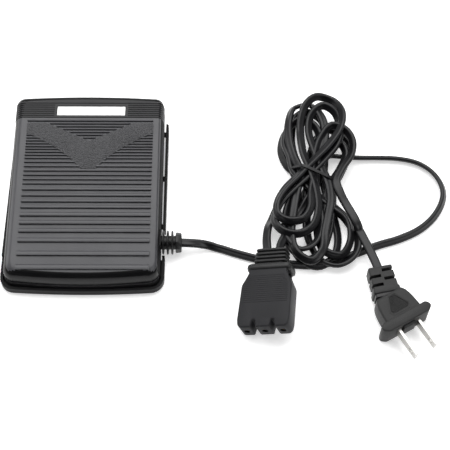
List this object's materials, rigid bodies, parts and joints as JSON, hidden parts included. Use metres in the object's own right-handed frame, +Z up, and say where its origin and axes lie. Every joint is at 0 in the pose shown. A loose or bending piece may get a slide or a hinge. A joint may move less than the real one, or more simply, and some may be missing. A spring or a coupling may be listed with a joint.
{
  "type": "sewing machine pedal",
  "caption": "Foot speed control for a sewing machine: ribbed treadle hinged at the heel on a shallow base, with bundled flat leads, a machine connector and a mains plug.",
  "frame": {"origin": "centre of the pedal's footprint on the plane it stands on, leads not counted", "axes": "+X to the pedal's right, where the lead leaves; +Y from the heel hinge towards the raised toe end; +Z up"},
  "size_m": [0.2601, 0.173, 0.0286],
  "materials": {
    "black_abs": "fine moulded texture, satin",
    "base_abs": "smooth moulded, semi-gloss",
    "black_pvc": "soft PVC, satin",
    "connector_plastic": "moulded, satin",
    "plate_white": "blank printed plate, matt",
    "rubber": "matt",
    "steel": "zinc plated",
    "spring_steel": "bright spring wire",
    "nickel": "nickel plated, bright",
    "brass": "bright",
    "bronze": "spring bronze",
    "aluminium": "plain",
    "board_green": "laminate",
    "ivory_plastic": "moulded",
    "ceramic_white": "unglazed",
    "carbon": "carbon film",
    "copper": "lacquered copper",
    "amber_plastic": "film capacitor case",
    "resistor_tan": "lacquered",
    "wire_red": "PVC"
  },
  "bodies": {
    "base": {"base_housing": "base_abs", "rubber_feet": "rubber", "hinge_rod": "steel", "hinge_caps": "base_abs", "cap_screws": "steel", "rod_washers": "steel", "return_springs": "spring_steel", "stop_bumpers": "rubber", "lever_pin": "steel", "track_block": "ceramic_white", "carbon_track": "carbon", "circuit_board": "board_green", "board_screws": "steel", "choke_coil": "copper", "capacitor": "amber_plastic", "triac": "carbon", "heat_sink": "aluminium", "resistors": "resistor_tan", "terminal_block": "ivory_plastic", "terminal_screws": "brass", "internal_wires": "wire_red", "lead_tail": "black_pvc", "cord_clamp": "ivory_plastic", "clamp_screws": "steel", "strain_relief": "black_pvc", "pedal_lead": "black_pvc", "lead_bundle": "black_pvc", "bundle_tie": "black_pvc", "connector_leads": "black_pvc", "connector_body": "connector_plastic", "connector_relief": "black_pvc", "contact_sleeves": "brass", "mains_lead": "black_pvc", "plug_body": "black_pvc", "plug_blades": "nickel"},
    "treadle": {"treadle_cover": "black_abs", "nameplate": "plate_white"},
    "lever": {"wiper_lever": "ivory_plastic", "wiper_contact": "bronze"}
  },
  "joints": [
    {"name": "treadle_pivot", "type": "hinge", "parent": "base", "child": "treadle", "pos_m": [0, -0.049, 0.008], "axis": [-1, 0, 0], "range_deg": [0, 6], "stiffness_Nm_per_rad": 5, "springref_deg": -4.01, "deforming": ["return_springs"]},
    {"name": "wiper_pivot", "type": "hinge", "parent": "base", "child": "lever", "pos_m": [0, 0.02, 0.0075], "axis": [1, 0, 0], "range_deg": [0, 25.1]}
  ],
  "couplings": [
    {"joint": "wiper_pivot", "follows": "treadle_pivot", "ratio": 4.1667}
  ]
}
